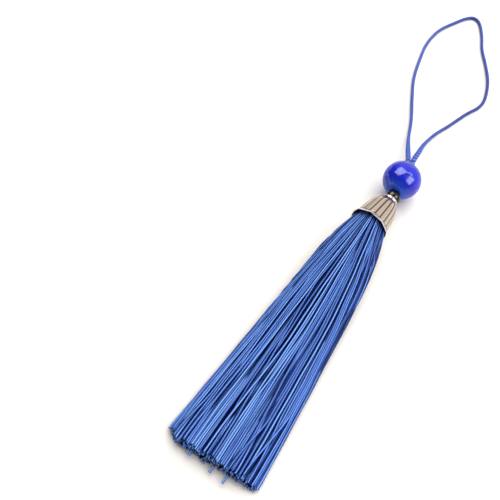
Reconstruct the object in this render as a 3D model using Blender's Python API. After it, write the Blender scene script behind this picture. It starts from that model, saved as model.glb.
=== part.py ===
"""A tassel lying on a table: a skirt of cut strands, a fluted metal cap, two beads and a hanging loop.

The origin is under the large bead, on the surface that the tassel lies on. +X runs along the tassel
from the skirt to the loop, and +Z is up.
"""
import math
from collections import namedtuple

import bmesh
import bpy
import numpy as np
from mathutils import Matrix, Vector
from mathutils.geometry import delaunay_2d_cdt

MM = 0.001

# Clearance between neighbouring pieces
GAP = 0.3 * MM

# Large bead: a drilled ball with a small flat where it rests
BEAD_RADIUS = 8.0 * MM
BEAD_FLAT_DEPTH = 0.12 * MM
BEAD_BORE_RADIUS = 2.05 * MM
BEAD_BORE_CHAMFER = 0.25 * MM
BEAD_COLUMNS = 28
BEAD_ARC_STEPS = 13
BORE_YAW = math.radians(4.8)
BEAD_CENTRE = Vector((0, 0, BEAD_RADIUS - BEAD_FLAT_DEPTH))

# Small bead: a rounded spacer between the large bead and the cap
SPACER_RADIUS = 3.05 * MM
SPACER_HALF_LENGTH = 2.4 * MM
SPACER_BORE_RADIUS = 0.9 * MM
SPACER_COLUMNS = 20
SPACER_ARC_STEPS = 8

# Cap: a hollow tulip of thin metal with flutes, an even lip and a collar
RIM_CENTRE = Vector((-27.5, 0.9, 8.25)) * MM
COLLAR_RADIUS = 3.15 * MM
COLLAR_MOUTH_RADIUS = 2.75 * MM
FLUTES = 18
COLUMNS_A_FLUTE = 4
FLUTE_DEPTH = 0.4 * MM
FLUTE_START_ANGLE = math.radians(98.0)
WALL = 0.8 * MM
LIP_WALL = 0.6 * MM
SCALLOP_DEPTH = 0.4 * MM
COLLAR_BORE_SHARE = 0.86
SURFACE_TOLERANCE = 0.05 * MM

CapRow = namedtuple("CapRow", "share radius flute scallop")
CAP_OUTSIDE = (
    CapRow(share=0.000, radius=8.22 * MM, flute=0.0, scallop=1.0),
    CapRow(share=0.030, radius=7.95 * MM, flute=0.0, scallop=1.0),
    CapRow(share=0.065, radius=7.50 * MM, flute=0.0, scallop=1.0),
    CapRow(share=0.085, radius=7.55 * MM, flute=0.7, scallop=1.0),
    CapRow(share=0.250, radius=7.10 * MM, flute=1.0, scallop=0.3),
    CapRow(share=0.450, radius=6.62 * MM, flute=1.0, scallop=0.0),
    CapRow(share=0.620, radius=6.10 * MM, flute=1.0, scallop=0.0),
    CapRow(share=0.760, radius=5.28 * MM, flute=0.9, scallop=0.0),
    CapRow(share=0.860, radius=4.25 * MM, flute=0.7, scallop=0.0),
    CapRow(share=0.905, radius=3.65 * MM, flute=0.3, scallop=0.0),
    CapRow(share=0.930, radius=3.30 * MM, flute=0.0, scallop=0.0),
    CapRow(share=0.950, radius=3.40 * MM, flute=0.0, scallop=0.0),
    CapRow(share=1.000, radius=COLLAR_RADIUS, flute=0.0, scallop=0.0),
)

# Skirt: strands fused at their roots into the head that fills the cap
STRAND_RINGS = 8
STRAND_WIDTH = 0.48 * MM
ROOT_RADIUS = 5.85 * MM
ROOT_SHARE = 0.055
HEAD_COLUMNS = 32
HEAD_END_SHARE = 0.76
HEAD_CLEARANCE = 0.35 * MM
STRAND_SEED = 11
END_UNEVENNESS = 1.1 * MM
LONG_TIP_EVERY = 31
LONG_TIP = 4.0 * MM
SPREAD_ROUNDS = 260
SPREAD_STEP = 0.22
SPREAD_FILL = 1.35
RUN_SAMPLES = 21
MOST_SWAPS = 30

Section = namedtuple("Section", "x middle half_width height side_height")
SKIRT = (
    Section(x=-32.5 * MM, middle=0.8 * MM, half_width=9.5 * MM, height=15.7 * MM, side_height=7.6 * MM),
    Section(x=-52.0 * MM, middle=0.7 * MM, half_width=12.7 * MM, height=12.6 * MM, side_height=4.8 * MM),
    Section(x=-90.0 * MM, middle=0.7 * MM, half_width=15.6 * MM, height=8.8 * MM, side_height=2.2 * MM),
    Section(x=-141.0 * MM, middle=0.6 * MM, half_width=19.3 * MM, height=5.6 * MM, side_height=1.0 * MM),
)

# Hanging loop: one length of braided cord, both ends in the large bead's bore
CORD_DIAMETER = 1.44 * MM
CORD_BEVEL_RESOLUTION = 2
CORD_LEG_OFFSET = 0.98 * MM
CORD_DEPTH = 6.0 * MM
CORD_STRAIGHT_TO = 1.0 * MM
CORD_POINT_SPACING = 3.1 * MM
CORD_STEPS_A_STRETCH = 24
FLOOR_LEVEL = CORD_DIAMETER / 2 + 0.02 * MM
CORD_ROUTE = [
    (11.2, 2.9, 7.6), (19.0, 6.4, 4.6), (27.0, 9.7, 1.7), (37.3, 13.5, 0.74), (48.7, 18.9, 0.74),
    (60.0, 23.8, 0.74), (72.3, 26.9, 0.74), (83.0, 28.6, 0.74), (93.6, 27.6, 0.74), (103.0, 23.2, 0.74),
    (108.4, 19.9, 0.74), (110.1, 16.9, 0.74), (108.1, 13.4, 0.74), (101.5, 9.2, 0.74), (93.2, 5.2, 0.74),
    (85.1, -0.3, 0.74), (76.3, -5.4, 0.74), (66.7, -8.5, 0.74), (60.3, -8.5, 0.74), (53.2, -5.4, 0.74),
    (43.3, -2.0, 0.74), (35.3, 1.0, 0.9), (27.0, 2.1, 2.3), (19.0, 1.5, 5.0), (11.7, 0.7, 7.6),
]


def clear_scene():
    """Remove whatever the file holds."""
    for item in list(bpy.data.objects):
        bpy.data.objects.remove(item, do_unlink=True)


def finish(name, colour, roughness, metallic=0.0):
    """A plain material for one piece."""
    material = bpy.data.materials.new(name)
    material.use_nodes = True
    shader = material.node_tree.nodes["Principled BSDF"]
    shader.inputs["Base Color"].default_value = (*colour, 1.0)
    shader.inputs["Roughness"].default_value = roughness
    shader.inputs["Metallic"].default_value = metallic
    return material


def add_mesh(name, bm, material, place=Matrix.Identity(4), smooth_angle=math.radians(35)):
    """Turn a bmesh into a shaded object in the scene."""
    bmesh.ops.recalc_face_normals(bm, faces=bm.faces[:])
    mesh = bpy.data.meshes.new(name)
    bm.to_mesh(mesh)
    bm.free()
    mesh.shade_smooth()
    mesh.set_sharp_from_angle(angle=smooth_angle)
    mesh.materials.append(material)
    item = bpy.data.objects.new(name, mesh)
    bpy.context.collection.objects.link(item)
    item.matrix_world = place
    return item


def turned(profile, columns):
    """Spin a closed (along, radius) profile about X into a ring-shaped solid."""
    bm = bmesh.new()
    verts = [bm.verts.new((along, 0.0, radius)) for along, radius in profile]
    edges = [bm.edges.new((a, b)) for a, b in zip(verts, verts[1:] + verts[:1])]
    bmesh.ops.spin(bm, geom=verts + edges, cent=(0, 0, 0), axis=(1, 0, 0), angle=math.tau,
                   steps=columns, use_merge=True)
    return bm


def oval_profile(half_length, radius, bore, chamfer, steps):
    """Section of a drilled oval bead: its outer arc, its bore and the bore's two chamfers."""
    edge = bore + chamfer
    reach = math.acos(edge / radius)
    arc = [math.sin(t) for t in np.linspace(reach, -reach, steps)]
    outer = [(half_length * s, radius * math.sqrt(1 - s * s)) for s in arc]
    mouth = outer[0][0] - chamfer
    return outer + [(-mouth, bore), (mouth, bore)]


def bore_frame(along):
    """Frame on the large bead's bore, at a distance from the bead's centre."""
    turn = Matrix.Rotation(BORE_YAW, 4, "Z")
    return Matrix.Translation(BEAD_CENTRE) @ turn @ Matrix.Translation((along, 0, 0))


def spacer_reach(radius):
    """How far the small bead's surface is from its middle plane, at a radius."""
    return SPACER_HALF_LENGTH * math.sqrt(1 - (radius / SPACER_RADIUS) ** 2)


def spacer_centre():
    """Middle of the small bead, which nests in the edge of the large bead's bore."""
    edge = BEAD_BORE_RADIUS + BEAD_BORE_CHAMFER
    away = math.sqrt(BEAD_RADIUS ** 2 - edge ** 2) + spacer_reach(edge) + GAP
    return bore_frame(-away).translation


def cap_frame():
    """Frame of the cap: X from the rim's centre to the collar, Z up. Also gives the cap's length."""
    along = spacer_centre() - RIM_CENTRE
    along -= along.normalized() * (spacer_reach(COLLAR_MOUTH_RADIUS) + GAP)
    x_axis = along.normalized()
    y_axis = Vector((0, 0, 1)).cross(x_axis).normalized()
    z_axis = x_axis.cross(y_axis)
    frame = Matrix((x_axis, y_axis, z_axis)).transposed().to_4x4()
    frame.translation = RIM_CENTRE
    return frame, along.length


def make_large_bead():
    profile = oval_profile(BEAD_RADIUS, BEAD_RADIUS, BEAD_BORE_RADIUS, BEAD_BORE_CHAMFER, BEAD_ARC_STEPS)
    bm = turned(profile, BEAD_COLUMNS)
    bmesh.ops.transform(bm, matrix=bore_frame(0.0), verts=bm.verts[:])
    everything = bm.verts[:] + bm.edges[:] + bm.faces[:]
    cut = bmesh.ops.bisect_plane(bm, geom=everything, plane_co=(0, 0, 0), plane_no=(0, 0, -1),
                                 clear_outer=True)
    loop = [part for part in cut["geom_cut"] if isinstance(part, bmesh.types.BMEdge)]
    bmesh.ops.contextual_create(bm, geom=loop)
    add_mesh("large_bead", bm, finish("blue_glass", (0.012, 0.025, 0.52), 0.06))


def make_small_bead():
    profile = oval_profile(SPACER_HALF_LENGTH, SPACER_RADIUS, SPACER_BORE_RADIUS, 0.0, SPACER_ARC_STEPS)
    bm = turned(profile, SPACER_COLUMNS)
    place = Matrix.Translation(spacer_centre())
    add_mesh("small_bead", bm, finish("black_glass", (0.006, 0.006, 0.007), 0.08), place)


def groove(angle):
    """Depth of the groove between two flutes, from 0 on a crest to 1."""
    wave = abs(math.sin(FLUTES / 2 * (angle - FLUTE_START_ANGLE)))
    return (1 - wave) ** 1.5


def scallop(angle):
    """How far the rim reaches out in a lobe, from 0 between lobes to 1. A lobe spans two flutes."""
    return abs(math.sin(FLUTES / 4 * (angle - FLUTE_START_ANGLE) + math.pi / 4))


def inside_radius(row):
    """Radius of the cap's smooth inner wall at one row of its outside."""
    return row.radius - LIP_WALL - (WALL - LIP_WALL) * row.flute


def make_cap():
    frame, length = cap_frame()
    hollow = [row for row in CAP_OUTSIDE if row.share <= COLLAR_BORE_SHARE]
    outside = [(row.share * length, row.radius) for row in CAP_OUTSIDE]
    bore = [(length, COLLAR_MOUTH_RADIUS), (COLLAR_BORE_SHARE * length, COLLAR_MOUTH_RADIUS)]
    inside = [(row.share * length, inside_radius(row)) for row in reversed(hollow)]
    bm = turned(outside + bore + inside, FLUTES * COLUMNS_A_FLUTE)
    shares = [row.share * length for row in CAP_OUTSIDE]
    radii = [row.radius for row in CAP_OUTSIDE]
    flutes = [row.flute for row in CAP_OUTSIDE]
    scallops = [row.scallop for row in CAP_OUTSIDE]
    for vert in bm.verts:
        along = vert.co.x
        radius = math.hypot(vert.co.y, vert.co.z)
        angle = math.atan2(vert.co.z, vert.co.y)
        outer = radius > np.interp(along, shares, radii) - SURFACE_TOLERANCE
        depth = FLUTE_DEPTH * np.interp(along, shares, flutes) * groove(angle) if outer else 0.0
        vert.co.x -= SCALLOP_DEPTH * np.interp(along, shares, scallops) * (scallop(angle) - 1)
        vert.co.y -= depth * math.cos(angle)
        vert.co.z -= depth * math.sin(angle)
    add_mesh("cap", bm, finish("polished_metal", (0.62, 0.57, 0.52), 0.12, 1.0), frame)


def root_points():
    """Places of the strands on the head's end face: one in the middle and six more in each ring."""
    points = [(0.0, 0.0)]
    for ring in range(1, STRAND_RINGS + 1):
        radius = ROOT_RADIUS * ring / STRAND_RINGS
        for step in range(6 * ring):
            angle = math.tau * (step + 0.5 * (ring % 2)) / (6 * ring)
            points.append((radius * math.cos(angle), radius * math.sin(angle)))
    return np.array(points)


def top_of(section, share):
    """Height of the skirt's upper side at a share of its half width."""
    crown = section.height - section.side_height
    return section.side_height + crown * np.sqrt(np.maximum(1 - share ** 2, 0))


def bottom_of(section, share):
    """Height of the skirt's lower side, which lies flat along the middle."""
    return section.side_height * (1 - np.sqrt(np.maximum(1 - share ** 4, 0)))


def spread(points, section):
    """Push the strands of one section apart, inside the section's outline."""
    half = STRAND_WIDTH / 2
    pitch = math.sqrt(section.half_width * section.height * SPREAD_FILL / len(points))
    for _ in range(SPREAD_ROUNDS):
        offsets = points[:, None] - points[None]
        distance = np.linalg.norm(offsets, axis=2) + np.eye(len(points))
        push = np.clip(pitch - distance, 0, None) / distance
        np.fill_diagonal(push, 0)
        points = points + SPREAD_STEP * (push[:, :, None] * offsets).sum(axis=1)
        limit = section.half_width - half
        side = np.clip(points[:, 0] - section.middle, -limit, limit)
        share = side / section.half_width
        low = bottom_of(section, share) + half
        high = np.maximum(top_of(section, share) - half, low)
        points = np.column_stack((side + section.middle, np.clip(points[:, 1], low, high)))
    return points


def nearest_pair(start, end):
    """The two strands that come closest on straight runs between two sections, and how close."""
    least = np.full((len(start), len(start)), np.inf)
    for t in np.linspace(0, 1, RUN_SAMPLES):
        points = start * (1 - t) + end * t
        least = np.minimum(least, np.abs(points[:, None] - points[None]).max(axis=2))
    np.fill_diagonal(least, np.inf)
    first, second = np.unravel_index(least.argmin(), least.shape)
    return first, second, least.min()


def uncross(places):
    """Swap the far ends of strands that would pass through each other on their way to a section."""
    for near in range(len(places) - 1):
        for _ in range(MOST_SWAPS):
            first, second, distance = nearest_pair(places[near], places[near + 1])
            if distance > STRAND_WIDTH:
                break
            for section in places[near + 1:]:
                section[[first, second]] = section[[second, first]]
    return places


def strand_places(head):
    """(y, z) of every strand at each section of the skirt, from the round head to the flat end."""
    roots = root_points()
    last = Section(x=head.translation.x, middle=head.translation.y, half_width=ROOT_RADIUS + STRAND_WIDTH / 2,
                   height=head.translation.z + ROOT_RADIUS, side_height=head.translation.z)
    points = np.array([(head @ Vector((0, y, z)))[1:] for y, z in roots])
    places = [points]
    for section in SKIRT:
        side = (points[:, 0] - last.middle) / last.half_width
        points = np.column_stack((section.middle + side * section.half_width,
                                  points[:, 1] * section.height / last.height))
        points = spread(points, section)
        places.append(points)
        last = section
    return uncross(places)[1:]


def square_ring(frame, y, z):
    """Four corners of a strand, in a frame's YZ plane."""
    half = STRAND_WIDTH / 2
    return [frame @ Vector((0, y + a * half, z + b * half)) for a, b in ((-1, -1), (1, -1), (1, 1), (-1, 1))]


def strand_tips(count, end_x):
    """X of each strand's cut end: a little uneven, with a few that stick out."""
    rng = np.random.default_rng(STRAND_SEED)
    tips = end_x + END_UNEVENNESS * rng.uniform(-1, 1, count)
    tips[::LONG_TIP_EVERY] -= LONG_TIP * rng.uniform(0.5, 1, len(tips[::LONG_TIP_EVERY]))
    return tips


def make_strands():
    frame, length = cap_frame()
    head = frame @ Matrix.Translation((ROOT_SHARE * length, 0, 0))
    roots = root_points()
    places = strand_places(head)
    tips = strand_tips(len(roots), SKIRT[-1].x)
    bm = bmesh.new()

    # Head's end face, with a square opening for each root
    rows = [row for row in CAP_OUTSIDE if ROOT_SHARE < row.share <= HEAD_END_SHARE]
    end_radius = inside_radius(rows[0]) - HEAD_CLEARANCE
    circle = [math.tau * step / HEAD_COLUMNS for step in range(HEAD_COLUMNS)]
    flat = [(end_radius * math.cos(a), end_radius * math.sin(a)) for a in circle]
    half = STRAND_WIDTH / 2
    corners = ((-half, -half), (half, -half), (half, half), (-half, half))
    flat += [(y + dy, z + dz) for y, z in roots for dy, dz in corners]
    loops = [list(range(HEAD_COLUMNS))]
    loops += [[HEAD_COLUMNS + 4 * k + c for c in range(4)] for k in range(len(roots))]
    points, _, faces, origin, _, inside = delaunay_2d_cdt([Vector(p) for p in flat], [], loops, 1, 1e-7)
    verts = [bm.verts.new(head @ Vector((0, p.x, p.y))) for p in points]
    vert_of = {first: vert for vert, sources in zip(verts, origin) for first in sources}
    for face, owners in zip(faces, inside):
        if not any(owners):
            bm.faces.new([verts[k] for k in face])

    # Head's side, inside the cap's wall
    ring = [vert_of[k] for k in range(HEAD_COLUMNS)]
    for row in rows[1:]:
        radius = inside_radius(row) - HEAD_CLEARANCE
        along = row.share * length
        outer = [bm.verts.new(frame @ Vector((along, radius * math.cos(a), radius * math.sin(a))))
                 for a in circle]
        for k in range(HEAD_COLUMNS):
            m = (k + 1) % HEAD_COLUMNS
            bm.faces.new((ring[k], ring[m], outer[m], outer[k]))
        ring = outer
    bm.faces.new(ring)

    # Strands, each from its opening through every section to its cut end
    for k in range(len(roots)):
        ring = [vert_of[HEAD_COLUMNS + 4 * k + c] for c in range(4)]
        for section, place in zip(SKIRT, places):
            x = tips[k] if section is SKIRT[-1] else section.x
            corners_there = square_ring(Matrix.Translation((x, 0, 0)), *place[k])
            outer = [bm.verts.new(corner) for corner in corners_there]
            for c in range(4):
                m = (c + 1) % 4
                bm.faces.new((ring[c], ring[m], outer[m], outer[c]))
            ring = outer
        bm.faces.new(ring)
    add_mesh("strands", bm, finish("blue_yarn", (0.03, 0.11, 0.55), 0.45))


def smooth_route(points, spacing):
    """Read evenly spaced points from a smooth curve through a route's own points."""
    padded = [points[0] * 2 - points[1], *points, points[-1] * 2 - points[-2]]
    fine = []
    for before, start, end, after in zip(padded, padded[1:], padded[2:], padded[3:]):
        for t in np.linspace(0, 1, CORD_STEPS_A_STRETCH, endpoint=False):
            fine.append(0.5 * (2 * start + (end - before) * t
                               + (2 * before - 5 * start + 4 * end - after) * t ** 2
                               + (3 * start - before - 3 * end + after) * t ** 3))
    fine = np.array([*fine, points[-1]])
    walked = np.concatenate(([0], np.cumsum(np.linalg.norm(np.diff(fine, axis=0), axis=1))))
    count = round(walked[-1] / spacing) + 1
    stops = np.linspace(0, walked[-1], count)
    return np.column_stack([np.interp(stops, walked, fine[:, axis]) for axis in range(3)])


def make_cord_loop():
    inner, mouth = BEAD_RADIUS - CORD_DEPTH, BEAD_RADIUS - CORD_STRAIGHT_TO
    legs = [[bore_frame(along) @ Vector((0, side * CORD_LEG_OFFSET, 0)) for along in (inner, mouth)]
            for side in (1, -1)]
    route = [*legs[0], *(Vector(point) * MM for point in CORD_ROUTE), *reversed(legs[1])]
    points = smooth_route([np.array(point) for point in route], CORD_POINT_SPACING)
    points[:, 2] = np.maximum(points[:, 2], FLOOR_LEVEL)
    curve = bpy.data.curves.new("cord_loop", "CURVE")
    curve.dimensions = "3D"
    curve.bevel_depth = CORD_DIAMETER / 2
    curve.bevel_resolution = CORD_BEVEL_RESOLUTION
    curve.use_fill_caps = True
    spline = curve.splines.new("POLY")
    spline.points.add(len(points) - 1)
    for point, place in zip(spline.points, points):
        point.co = (*place, 1.0)
    curve.materials.append(finish("blue_cord", (0.06, 0.11, 0.5), 0.6))
    item = bpy.data.objects.new("cord_loop", curve)
    bpy.context.collection.objects.link(item)


clear_scene()
make_large_bead()
make_small_bead()
make_cap()
make_strands()
make_cord_loop()
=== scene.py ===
"""Looks of a blue tassel that lies on a white table: cord loop, two beads, fluted cap and skirt of strands.

Every size is in metres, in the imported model's own frame: +X runs from the skirt to the loop, +Z is up,
and the origin is under the large bead, on the table.
"""
import logging
import math
from dataclasses import dataclass, field
from enum import Enum
from typing import Any, Iterable, Optional, Sequence, Union

import bpy
import numpy as np
from mathutils import Matrix, Vector


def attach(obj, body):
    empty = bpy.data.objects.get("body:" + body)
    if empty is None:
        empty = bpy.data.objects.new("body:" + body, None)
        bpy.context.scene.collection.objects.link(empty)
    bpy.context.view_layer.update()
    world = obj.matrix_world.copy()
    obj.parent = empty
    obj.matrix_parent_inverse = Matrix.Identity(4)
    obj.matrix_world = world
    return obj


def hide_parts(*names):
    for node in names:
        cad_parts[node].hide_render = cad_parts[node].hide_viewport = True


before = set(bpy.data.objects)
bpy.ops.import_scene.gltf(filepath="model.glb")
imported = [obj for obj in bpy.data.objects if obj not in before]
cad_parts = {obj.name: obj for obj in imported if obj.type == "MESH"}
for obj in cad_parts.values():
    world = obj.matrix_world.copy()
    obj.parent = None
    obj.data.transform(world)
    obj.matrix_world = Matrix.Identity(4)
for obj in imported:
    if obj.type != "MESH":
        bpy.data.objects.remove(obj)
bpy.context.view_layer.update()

LOG = logging.getLogger("tassel")
MM = 0.001
Colour = tuple[float, float, float]
Operand = Union["Term", float, Colour]


class Slot(Enum):
    """The record's material slots."""

    YARN = "yarn"
    CAP_METAL = "cap_metal"
    SPACER_GLASS = "spacer_glass"
    BEAD_STONE = "bead_stone"
    CORD = "cord"


class Share(Enum):
    """What a lamp adds to the picture."""

    LIGHT = "light"
    HIGHLIGHTS = "highlights"


# Shader expressions


class Term:
    """One output socket of a finish's nodes, with the operators that the finishes use."""

    def __init__(self, graph: "Graph", socket: bpy.types.NodeSocket) -> None:
        """Wrap a socket.

        Args:
            graph: The finish that the socket belongs to.
            socket: The output socket.
        """
        self.graph = graph
        self.socket = socket

    @property
    def is_field(self) -> bool:
        """Whether the socket holds a colour or a vector."""
        return self.socket.type in ("RGBA", "VECTOR")

    def _combine(self, operation: str, first: Operand, second: Operand) -> "Term":
        """Add the node for one operation on two operands.

        Args:
            operation: Name of the operation, as Math and Vector Math have it.
            first: Left operand.
            second: Right operand.

        Returns:
            The result, a vector where either operand is one.
        """
        fields = any(term.is_field if isinstance(term, Term) else isinstance(term, tuple)
                     for term in (first, second))
        if fields:
            triples = [term if isinstance(term, (Term, tuple)) else (term,) * 3 for term in (first, second)]
            return self.graph.node("ShaderNodeVectorMath", {"operation": operation},
                                   {0: triples[0], 1: triples[1]})
        return self.graph.node("ShaderNodeMath", {"operation": operation}, {0: first, 1: second})

    def __add__(self, other: Operand) -> "Term":
        """Sum."""
        return self._combine("ADD", self, other)

    __radd__ = __add__

    def __sub__(self, other: Operand) -> "Term":
        """Difference."""
        return self._combine("SUBTRACT", self, other)

    def __rsub__(self, other: Operand) -> "Term":
        """Difference, from the other operand."""
        return self._combine("SUBTRACT", other, self)

    def __mul__(self, other: Operand) -> "Term":
        """Product."""
        return self._combine("MULTIPLY", self, other)

    __rmul__ = __mul__

    def __truediv__(self, other: Operand) -> "Term":
        """Quotient."""
        return self._combine("DIVIDE", self, other)

    def __pow__(self, power: float) -> "Term":
        """Power of a value."""
        return self.graph.node("ShaderNodeMath", {"operation": "POWER"}, {0: self, 1: power})

    def sine(self) -> "Term":
        """Sine of a value in radians."""
        return self.graph.node("ShaderNodeMath", {"operation": "SINE"}, {0: self})

    def size(self) -> "Term":
        """A value without its sign."""
        return self.graph.node("ShaderNodeMath", {"operation": "ABSOLUTE"}, {0: self})

    def ramp(self, low: float, high: float) -> "Term":
        """Smooth step of a value.

        Args:
            low: Value that gives 0.
            high: Value that gives 1.

        Returns:
            A value from 0 to 1.
        """
        settings = {"interpolation_type": "SMOOTHSTEP"}
        return self.graph.node("ShaderNodeMapRange", settings,
                               {"Value": self, "From Min": low, "From Max": high})


class Graph:
    """The material of one finish, and the nodes that vary it over the surface."""

    def __init__(self, name: str, **constants: Any) -> None:
        """Make a material with one Principled shader.

        Args:
            name: Material name.
            constants: Values for the shader's own sockets, with _ for each space in a socket's name.
        """
        self.material = bpy.data.materials.new(name)
        self.material.use_nodes = True
        self.tree = self.material.node_tree
        self.shader = self.tree.nodes["Principled BSDF"]
        for socket, value in constants.items():
            self.shader.inputs[socket.replace("_", " ")].default_value = value

    def node(self, kind: str, settings: Optional[dict[str, Any]] = None,
             inputs: Optional[dict[Union[str, int], Any]] = None, output: Union[str, int] = 0) -> Term:
        """Add a node.

        Args:
            kind: Node type.
            settings: Properties, which are set first; "stops" holds a ramp's (place, colour) pairs.
            inputs: Values or terms by socket name or number.
            output: Socket that the result reads.

        Returns:
            The output socket as a term.
        """
        made = self.tree.nodes.new(kind)
        for name, value in (settings or {}).items():
            if name == "stops":
                self._set_stops(made.color_ramp, value)
            else:
                setattr(made, name, value)
        for name, value in (inputs or {}).items():
            socket = made.inputs[name]
            if isinstance(value, Term):
                self.tree.links.new(value.socket, socket)
            elif isinstance(value, tuple) and socket.type == "RGBA":
                socket.default_value = (*value[:3], 1.0)
            else:
                socket.default_value = value
        return Term(self, made.outputs[output])

    @staticmethod
    def _set_stops(ramp: bpy.types.ColorRamp, stops: Iterable[tuple[float, Colour]]) -> None:
        """Give a ramp its stops.

        Args:
            ramp: The node's ramp.
            stops: Place and colour of each stop, in order.
        """
        wanted = list(stops)
        while len(ramp.elements) < len(wanted):
            ramp.elements.new(1.0)
        for element, (place, colour) in zip(ramp.elements, wanted):
            element.position = place
            element.color = (*colour, 1.0)

    def blend(self, share: Operand, first: Operand, second: Operand) -> Term:
        """Mix two colours.

        Args:
            share: Share of the second colour.
            first: Colour at share 0.
            second: Colour at share 1.

        Returns:
            The mixed colour.
        """
        return self.node("ShaderNodeMix", {"data_type": "RGBA", "clamp_factor": True},
                         {0: share, 6: first, 7: second}, 2)

    def attribute(self, name: str) -> Term:
        """Read a value that the mesh holds at its points."""
        return self.node("ShaderNodeAttribute", {"attribute_name": name}, output="Fac")

    def place(self) -> Term:
        """Read a point's place in the frame, in metres."""
        return self.node("ShaderNodeTexCoord", output="Object")

    def noise(self, where: Term, scale: float, detail: float = 2.0, roughness: float = 0.5,
              distortion: float = 0.0) -> Term:
        """Noise over a vector.

        Args:
            where: Coordinates.
            scale: Cells in one unit of the coordinates.
            detail: Octaves.
            roughness: Strength of the finer octaves.
            distortion: How far the cells are warped.

        Returns:
            A value around 0.5.
        """
        return self.node("ShaderNodeTexNoise", {}, {"Vector": where, "Scale": scale, "Detail": detail,
                                                    "Roughness": roughness, "Distortion": distortion})

    def distance(self, where: Term, line: Sequence[Colour]) -> Term:
        """Distance from a line of straight marks.

        Args:
            where: Place of each point.
            line: Points that the marks join.

        Returns:
            The distance, in the units of the places.
        """
        nearest: Optional[Term] = None
        for start, end in zip(line, line[1:]):
            run = Vector(end) - Vector(start)
            from_start = where - start
            walked = self.node("ShaderNodeVectorMath", {"operation": "DOT_PRODUCT"},
                               {0: from_start, 1: tuple(run / run.length_squared)}, "Value")
            held = self.node("ShaderNodeClamp", {}, {"Value": walked})
            foot = self.node("ShaderNodeVectorMath", {"operation": "SCALE"}, {0: tuple(run), "Scale": held})
            away = self.node("ShaderNodeVectorMath", {"operation": "LENGTH"}, {0: from_start - foot}, "Value")
            nearest = away if nearest is None else self.node("ShaderNodeMath", {"operation": "MINIMUM"},
                                                             {0: nearest, 1: away})
        return nearest

    def colour(self, term: Term) -> None:
        """Feed Base Color."""
        self.tree.links.new(term.socket, self.shader.inputs["Base Color"])

    def roughness(self, term: Term) -> None:
        """Feed Roughness."""
        self.tree.links.new(term.socket, self.shader.inputs["Roughness"])

    def relief(self, height: Term, depth: float, strength: float = 1.0) -> None:
        """Feed Normal with a bump.

        Args:
            height: Heights from 0 to 1.
            depth: Real depth of a height of 1, in metres.
            strength: Share of the bump's effect.
        """
        bump = self.node("ShaderNodeBump", {}, {"Height": height, "Distance": depth, "Strength": strength})
        self.tree.links.new(bump.socket, self.shader.inputs["Normal"])


# Finishes


@dataclass(frozen=True)
class YarnFinish:
    """Two-ply rayon strands: a satin royal blue with fine slanting plies, with painted shade deep in the
    bunch and down each strand's sides, and a painted highlight along each strand's top and on the plies'
    crowns.
    """

    # buried_shade is painted shade for strands that lie deep in the bunch.
    buried_shade: Colour = (0.002, 0.008, 0.090)
    # deep and bright are the strands' own darker and lighter tones. They are also the painted shade on the
    # strands' sides and the painted highlight on their tops.
    deep: Colour = (0.002, 0.014, 0.20)
    middle: Colour = (0.015, 0.066, 0.42)
    bright: Colour = (0.18, 0.355, 0.81)
    cut: Colour = (0.20, 0.40, 0.82)
    ply_turn: float = 2.6
    ply_depth: float = 0.05 * MM

    def make(self) -> bpy.types.Material:
        """Build the finish.

        The mesh's map "lay" holds turns round the strand and millimetres along it. Its values are
        "strand_tone", how light a strand is, "buried", how deep it lies, which sets painted shade, and
        "cut_end", 1 on the cut ends.
        """
        graph = Graph("blue_yarn", Roughness=0.36, Specular_IOR_Level=0.28,
                      Specular_Tint=(0.25, 0.5, 1.0, 1.0))
        lay = graph.node("ShaderNodeUVMap", {"uv_map": "lay"})
        turns = graph.node("ShaderNodeSeparateXYZ", {}, {0: lay}, "X")
        along = graph.node("ShaderNodeSeparateXYZ", {}, {0: lay}, "Y")
        ply = ((turns - along / self.ply_turn) * math.tau + math.pi / 2).sine().size()
        fibres = graph.noise(lay * (9.0, 0.5, 1.0), 1.0)
        mottle = graph.noise(graph.place(), 220.0)
        tone = graph.attribute("strand_tone")
        # light mixes each strand's own tone and noise with a small painted highlight on the plies' crowns.
        light = ply * 0.12 + fibres * 0.30 + tone * 1.05 + mottle * 0.30 - 0.42
        body = graph.blend(light.ramp(0.0, 0.5), self.deep, self.middle)
        body = graph.blend(light.ramp(0.35, 1.05), body, self.bright)
        # Painted highlight along each strand's top and painted shade down its sides and underneath, set by
        # the turn round the strand.
        upward = (turns * math.tau).sine()
        body = graph.blend(upward.ramp(0.60, 1.0) * (tone * 0.6 + 0.35), body, self.bright)
        body = graph.blend((1 - upward.ramp(0.62, 1.0)) * 0.97, body, self.deep)
        # Painted shade on strands that lie deep in the bunch, from their depth below its surface.
        body = graph.blend(graph.attribute("buried").ramp(0.0, 1.1), body, self.buried_shade)
        graph.colour(graph.blend(graph.attribute("cut_end") * 0.8, body, self.cut))
        graph.relief(ply * 0.4 + fibres * 0.4, self.ply_depth)
        return graph.material


@dataclass(frozen=True)
class CordFinish:
    """Braided nylon in a soft periwinkle blue, with painted shade between the strands of the braid and in
    random patches.
    """

    # groove is the painted shade between the braid's ridges.
    groove: Colour = (0.004, 0.009, 0.085)
    crown: Colour = (0.062, 0.128, 0.57)
    shaded: Colour = (0.020, 0.038, 0.26)

    def make(self) -> bpy.types.Material:
        """Build the finish from the mesh's own braid heights."""
        graph = Graph("blue_cord", Roughness=0.5, Specular_IOR_Level=0.2)
        height = graph.attribute("braid_height")
        fleck = graph.noise(graph.place(), 900.0, detail=2.0)
        # Painted shade in random patches along the cord.
        shade = graph.noise(graph.place(), 26.0, detail=1.0)
        crown = graph.blend(shade.ramp(0.48, 0.62) * 0.55, self.crown, self.shaded)
        # Painted shade between the braid's ridges, from the braid heights.
        graph.colour(graph.blend((height * 0.9 + fleck * 0.3).ramp(0.62, 1.0), self.groove, crown))
        graph.relief(graph.noise(graph.place(), 2600.0), 0.03 * MM)
        return graph.material


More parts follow.
